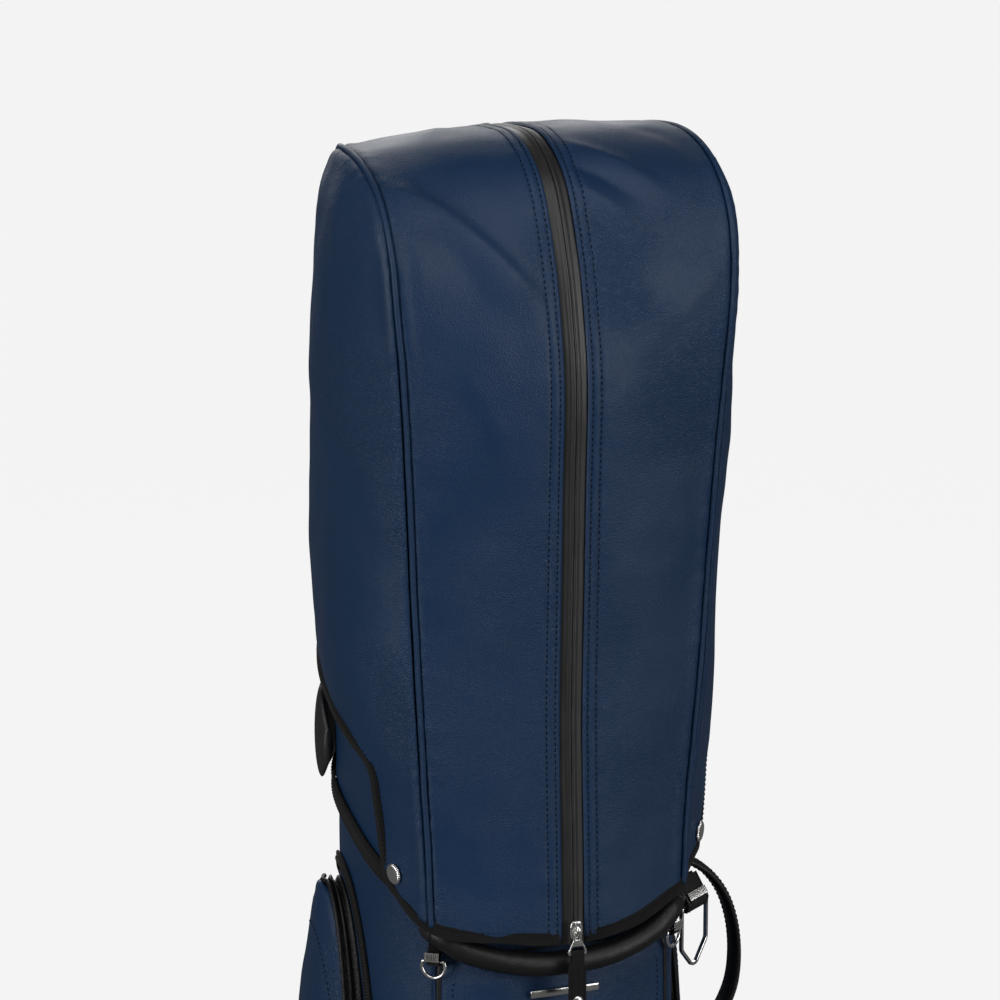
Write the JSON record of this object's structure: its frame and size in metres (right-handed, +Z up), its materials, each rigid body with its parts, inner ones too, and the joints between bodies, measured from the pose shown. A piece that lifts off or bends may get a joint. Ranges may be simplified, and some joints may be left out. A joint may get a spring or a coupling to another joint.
{
  "type": "golf cart bag with rain hood",
  "caption": "Upright golf cart bag under a tall zip-up rain hood that snaps over its cuff, with divided club cells, pockets, lift handles and hanging rings.",
  "frame": {"origin": "point on the rubber sole's bottom face, 6 mm in front of the bag tube's centre line", "axes": "+Z up along the bag, the hood's zipper faces -Y, and +X is on the right of someone who faces the zipper"},
  "size_m": [0.2834, 0.278, 1.2245],
  "materials": {
    "navy_leather": "fine pebbled navy synthetic leather, satin",
    "black_leather": "smooth black leather, satin",
    "black_webbing": "black woven binding and webbing",
    "zip_tape": "coated water-resistant charcoal zipper tape",
    "zip_chain": "black moulded coil",
    "silver_metal": "polished silver plating",
    "moulded_black": "satin black moulding",
    "soft_grip": "soft black satin wrapped grip",
    "rubber": "matt black rubber",
    "lining": "dark woven lining"
  },
  "bodies": {
    "bag": {"bag_back_panel": "navy_leather", "bag_front_panel": "navy_leather", "bag_left_panel": "navy_leather", "bag_right_panel": "navy_leather", "ball_pocket": "navy_leather", "ball_pocket_zip": "zip_tape", "base_tray": "moulded_black", "cuff": "navy_leather", "cuff_lower_trim": "black_webbing", "cuff_rim": "black_webbing", "d_ring_clamp_left": "silver_metal", "d_ring_clamp_right": "silver_metal", "d_ring_tab_left": "black_webbing", "d_ring_tab_right": "black_webbing", "divider_sheet_cross": "lining", "divider_sheet_front": "lining", "divider_sheet_rear": "lining", "divider_top": "moulded_black", "front_lift_handle": "soft_grip", "front_pocket": "navy_leather", "name_bar": "silver_metal", "rear_handle": "moulded_black", "rubber_sole": "rubber", "side_pocket_left": "navy_leather", "side_pocket_right": "navy_leather", "side_pocket_zip_left": "zip_tape", "side_pocket_zip_right": "zip_tape", "snap_stud_left": "silver_metal", "snap_stud_rear": "silver_metal", "snap_stud_right": "silver_metal", "spine_pad": "black_webbing", "towel_ring_clamp": "silver_metal", "towel_ring_tab": "black_leather"},
    "hood": {"hood_front_left": "navy_leather", "hood_front_right": "navy_leather", "hood_side_left": "navy_leather", "hood_side_right": "navy_leather", "hood_back": "navy_leather", "piping_left": "navy_leather", "piping_right": "navy_leather", "hem_binding": "black_webbing", "zip_tape_left": "zip_tape", "zip_tape_right": "zip_tape", "zip_chain": "zip_chain", "zip_top_stop": "silver_metal", "snap_cap_left": "silver_metal", "snap_cap_right": "silver_metal", "snap_cap_rear": "silver_metal"},
    "zip_slider": {"zip_slider": "silver_metal"},
    "zip_puller": {"zip_puller": "silver_metal"},
    "pull_tab": {"pull_tab": "black_webbing", "pull_tab_rivet": "silver_metal"},
    "d_ring_left": {"d_ring_left": "silver_metal"},
    "d_ring_right": {"d_ring_right": "silver_metal"},
    "towel_ring": {"towel_ring": "silver_metal"},
    "side_grab_handle": {"side_grab_handle": "black_leather"},
    "side_zip_slider_left": {"side_zip_slider_left": "silver_metal"},
    "side_zip_slider_right": {"side_zip_slider_right": "silver_metal"},
    "ball_zip_slider": {"ball_zip_slider": "silver_metal"}
  },
  "joints": [
    {"name": "hood_lift", "type": "slide", "parent": "bag", "child": "hood", "axis": [0, 0, 1], "range_m": [0, 0.25]},
    {"name": "hood_zip", "type": "slide", "parent": "hood", "child": "zip_slider", "axis": [0, 0, 1], "range_m": [0, 0.29]},
    {"name": "puller_swing", "type": "hinge", "parent": "zip_slider", "child": "zip_puller", "pos_m": [0, -0.1226, 0.7205], "axis": [-1, 0, 0], "range_deg": [0, 120]},
    {"name": "pull_tab_swing", "type": "hinge", "parent": "zip_puller", "child": "pull_tab", "pos_m": [0, -0.1226, 0.7057], "axis": [-1, 0, 0], "range_deg": [-8, 60]},
    {"name": "d_ring_left_swing", "type": "hinge", "parent": "bag", "child": "d_ring_left", "pos_m": [-0.08337, -0.08217, 0.6975], "axis": [-0.8022, 0.597, 0], "range_deg": [0, 90]},
    {"name": "d_ring_right_swing", "type": "hinge", "parent": "bag", "child": "d_ring_right", "pos_m": [0.08337, -0.08217, 0.6975], "axis": [-0.8022, -0.597, 0], "range_deg": [0, 90]},
    {"name": "towel_ring_swing", "type": "hinge", "parent": "bag", "child": "towel_ring", "pos_m": [0.10464, -0.06618, 0.708], "axis": [-0.8046, -0.5939, 0], "range_deg": [0, 90]},
    {"name": "grab_handle_flex", "type": "hinge", "parent": "bag", "child": "side_grab_handle", "pos_m": [0.103, -0.038, 0.6665], "axis": [0, 0, 1], "range_deg": [-15, 5]},
    {"name": "side_zip_left", "type": "slide", "parent": "bag", "child": "side_zip_slider_left", "axis": [0, 0, 1], "range_m": [-0.25, 0.1]},
    {"name": "side_zip_right", "type": "slide", "parent": "bag", "child": "side_zip_slider_right", "axis": [0, 0, 1], "range_m": [-0.25, 0.1]},
    {"name": "ball_zip", "type": "slide", "parent": "bag", "child": "ball_zip_slider", "axis": [0, 0, 1], "range_m": [-0.14, 0.04]}
  ]
}
